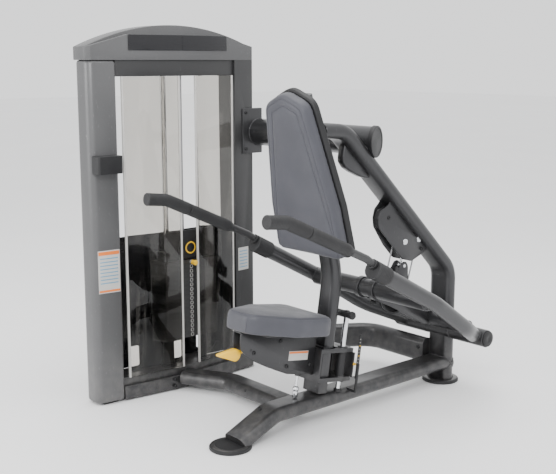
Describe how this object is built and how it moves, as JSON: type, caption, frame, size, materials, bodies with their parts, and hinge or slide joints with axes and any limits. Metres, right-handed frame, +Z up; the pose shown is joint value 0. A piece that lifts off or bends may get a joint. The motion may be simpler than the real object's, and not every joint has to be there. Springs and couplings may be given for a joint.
{
  "type": "seated dip machine",
  "caption": "Selectorised seated dip machine with a weight tower, rear-hinged press arm, rotating handles, sliding seat and forward-leaning back rest.",
  "frame": {"origin": "middle of the footprint, on the floor", "axes": "+Z up, the sitter faces -Y, the weight tower stands on the -X side"},
  "size_m": [1.1612, 1.3719, 1.4969],
  "materials": {
    "graphite_paint": "satin",
    "pillar_paint": "satin",
    "black_paint": "satin",
    "black_plastic": "matte",
    "gloss_black": "gloss",
    "rubber": "matte",
    "chrome": "polished",
    "vinyl": "semi-matte",
    "yellow_plastic": "satin",
    "clear_sheet": "polished",
    "label_white": "satin",
    "cast_plate": "satin",
    "steel_cable": "satin"
  },
  "bodies": {
    "frame": {"front_pillar": "pillar_paint", "rear_pillar": "pillar_paint", "bottom_rail": "graphite_paint", "inner_bands": "black_paint", "header_front": "pillar_paint", "header_arch": "pillar_paint", "placard": "gloss_black", "front_shield": "clear_sheet", "rear_shield": "clear_sheet", "shield_trims": "label_white", "infill_panel": "black_paint", "guide_rods": "chrome", "stack_stand": "rubber", "stack_plates": "cast_plate", "rubber_feet": "rubber", "accessory_box": "black_plastic", "label_plates": "label_white", "bolts": "black_paint", "pulley_axles": "chrome", "base_tube": "graphite_paint", "main_rail": "graphite_paint", "floor_feet": "rubber", "upper_frame": "graphite_paint", "cross_tube": "graphite_paint", "tube_cap": "gloss_black", "pulley_housing": "graphite_paint", "rear_brace": "graphite_paint", "back_post": "graphite_paint", "back_board": "black_plastic", "backrest_pad": "vinyl", "seat_column": "graphite_paint", "seat_rods": "chrome", "scale_strip": "black_plastic", "gas_rod": "chrome", "pivot_shaft": "chrome", "stack_cable": "steel_cable", "frame_cable": "steel_cable"},
    "press_arm": {"arm_hubs": "graphite_paint", "left_arm": "graphite_paint", "right_arm": "graphite_paint", "arm_cross_tubes": "graphite_paint", "arm_spine": "graphite_paint", "arm_stop": "rubber", "arm_cable": "steel_cable"},
    "left_handle": {"left_handle": "rubber"},
    "right_handle": {"right_handle": "rubber"},
    "seat": {"seat_carriage": "graphite_paint", "seat_shroud": "graphite_paint", "seat_pad": "vinyl", "gas_body": "black_paint"},
    "seat_lever": {"seat_lever": "yellow_plastic"},
    "stack_lift": {"lifted_plate": "cast_plate", "head_cover": "graphite_paint"},
    "selector_pin": {"selector_pin": "chrome"},
    "tower_wheel": {"tower_pulley": "black_plastic"},
    "corner_wheel": {"corner_pulley": "black_plastic"},
    "drop_wheel": {"drop_pulley": "black_plastic"},
    "housing_wheel": {"housing_pulley": "black_plastic"},
    "return_wheel": {"return_pulley": "black_plastic"},
    "arm_wheel": {"arm_pulley": "black_plastic"}
  },
  "joints": [
    {"name": "arm_press", "type": "hinge", "parent": "frame", "child": "press_arm", "pos_m": [0.22435, 0.609, 0.233], "axis": [1, 0, 0], "range_deg": [0, 18], "deforming": ["arm_cable"]},
    {"name": "stack_slide", "type": "slide", "parent": "frame", "child": "stack_lift", "axis": [0, 0, 1], "range_m": [0, 0.36], "deforming": ["stack_cable"]},
    {"name": "selector_pull", "type": "slide", "parent": "stack_lift", "child": "selector_pin", "axis": [1, 0, 0], "range_m": [0, 0.07]},
    {"name": "seat_slide", "type": "slide", "parent": "frame", "child": "seat", "axis": [0, 0.1564, 0.9877], "range_m": [-0.025, 0.105]},
    {"name": "lever_pull", "type": "hinge", "parent": "seat", "child": "seat_lever", "pos_m": [0.22435, -0.46689, 0.34999], "axis": [-1, 0, 0], "range_deg": [0, 14], "stiffness_Nm_per_rad": 3},
    {"name": "left_swivel", "type": "hinge", "parent": "press_arm", "child": "left_handle", "pos_m": [0.54435, -0.126, 0.63], "axis": [0.0225, -0.8845, 0.4661], "range_deg": [0, 180]},
    {"name": "right_swivel", "type": "hinge", "parent": "press_arm", "child": "right_handle", "pos_m": [-0.09565, -0.126, 0.63], "axis": [0.0225, 0.8845, -0.4661], "range_deg": [0, 180]},
    {"name": "tower_wheel_turn", "type": "hinge", "parent": "frame", "child": "tower_wheel", "pos_m": [-0.49129, -0.18917, 1.37], "axis": [-0.9958, -0.0911, 0], "range_deg": [0, 509]},
    {"name": "corner_wheel_turn", "type": "hinge", "parent": "frame", "child": "corner_wheel", "pos_m": [-0.51401, 0.05917, 1.37], "axis": [-0.9958, -0.0911, 0], "range_deg": [0, 509]},
    {"name": "drop_wheel_turn", "type": "hinge", "parent": "frame", "child": "drop_wheel", "pos_m": [-0.47765, 0.09954, 1.062], "axis": [0.0135, -0.9999, 0], "range_deg": [0, 509]},
    {"name": "housing_wheel_turn", "type": "hinge", "parent": "frame", "child": "housing_wheel", "pos_m": [0.22435, 0.41189, 0.64495], "axis": [-1, 0, 0], "range_deg": [0, 811.4]},
    {"name": "return_wheel_turn", "type": "hinge", "parent": "frame", "child": "return_wheel", "pos_m": [0.22435, 0.32926, 0.64383], "axis": [-1, 0, 0], "range_deg": [0, 199.8]},
    {"name": "arm_wheel_turn", "type": "hinge", "parent": "press_arm", "child": "arm_wheel", "pos_m": [0.22435, 0.29617, 0.4236], "axis": [-1, 0, 0], "range_deg": [0, 199.8]}
  ],
  "couplings": [
    {"joint": "stack_slide", "follows": "arm_press", "m_per_rad": 1.12},
    {"joint": "tower_wheel_turn", "follows": "arm_press", "ratio": 28},
    {"joint": "corner_wheel_turn", "follows": "arm_press", "ratio": 28},
    {"joint": "drop_wheel_turn", "follows": "arm_press", "ratio": 28},
    {"joint": "housing_wheel_turn", "follows": "arm_press", "ratio": 44.8},
    {"joint": "return_wheel_turn", "follows": "arm_press", "ratio": 10.821},
    {"joint": "arm_wheel_turn", "follows": "arm_press", "ratio": 10.821}
  ]
}
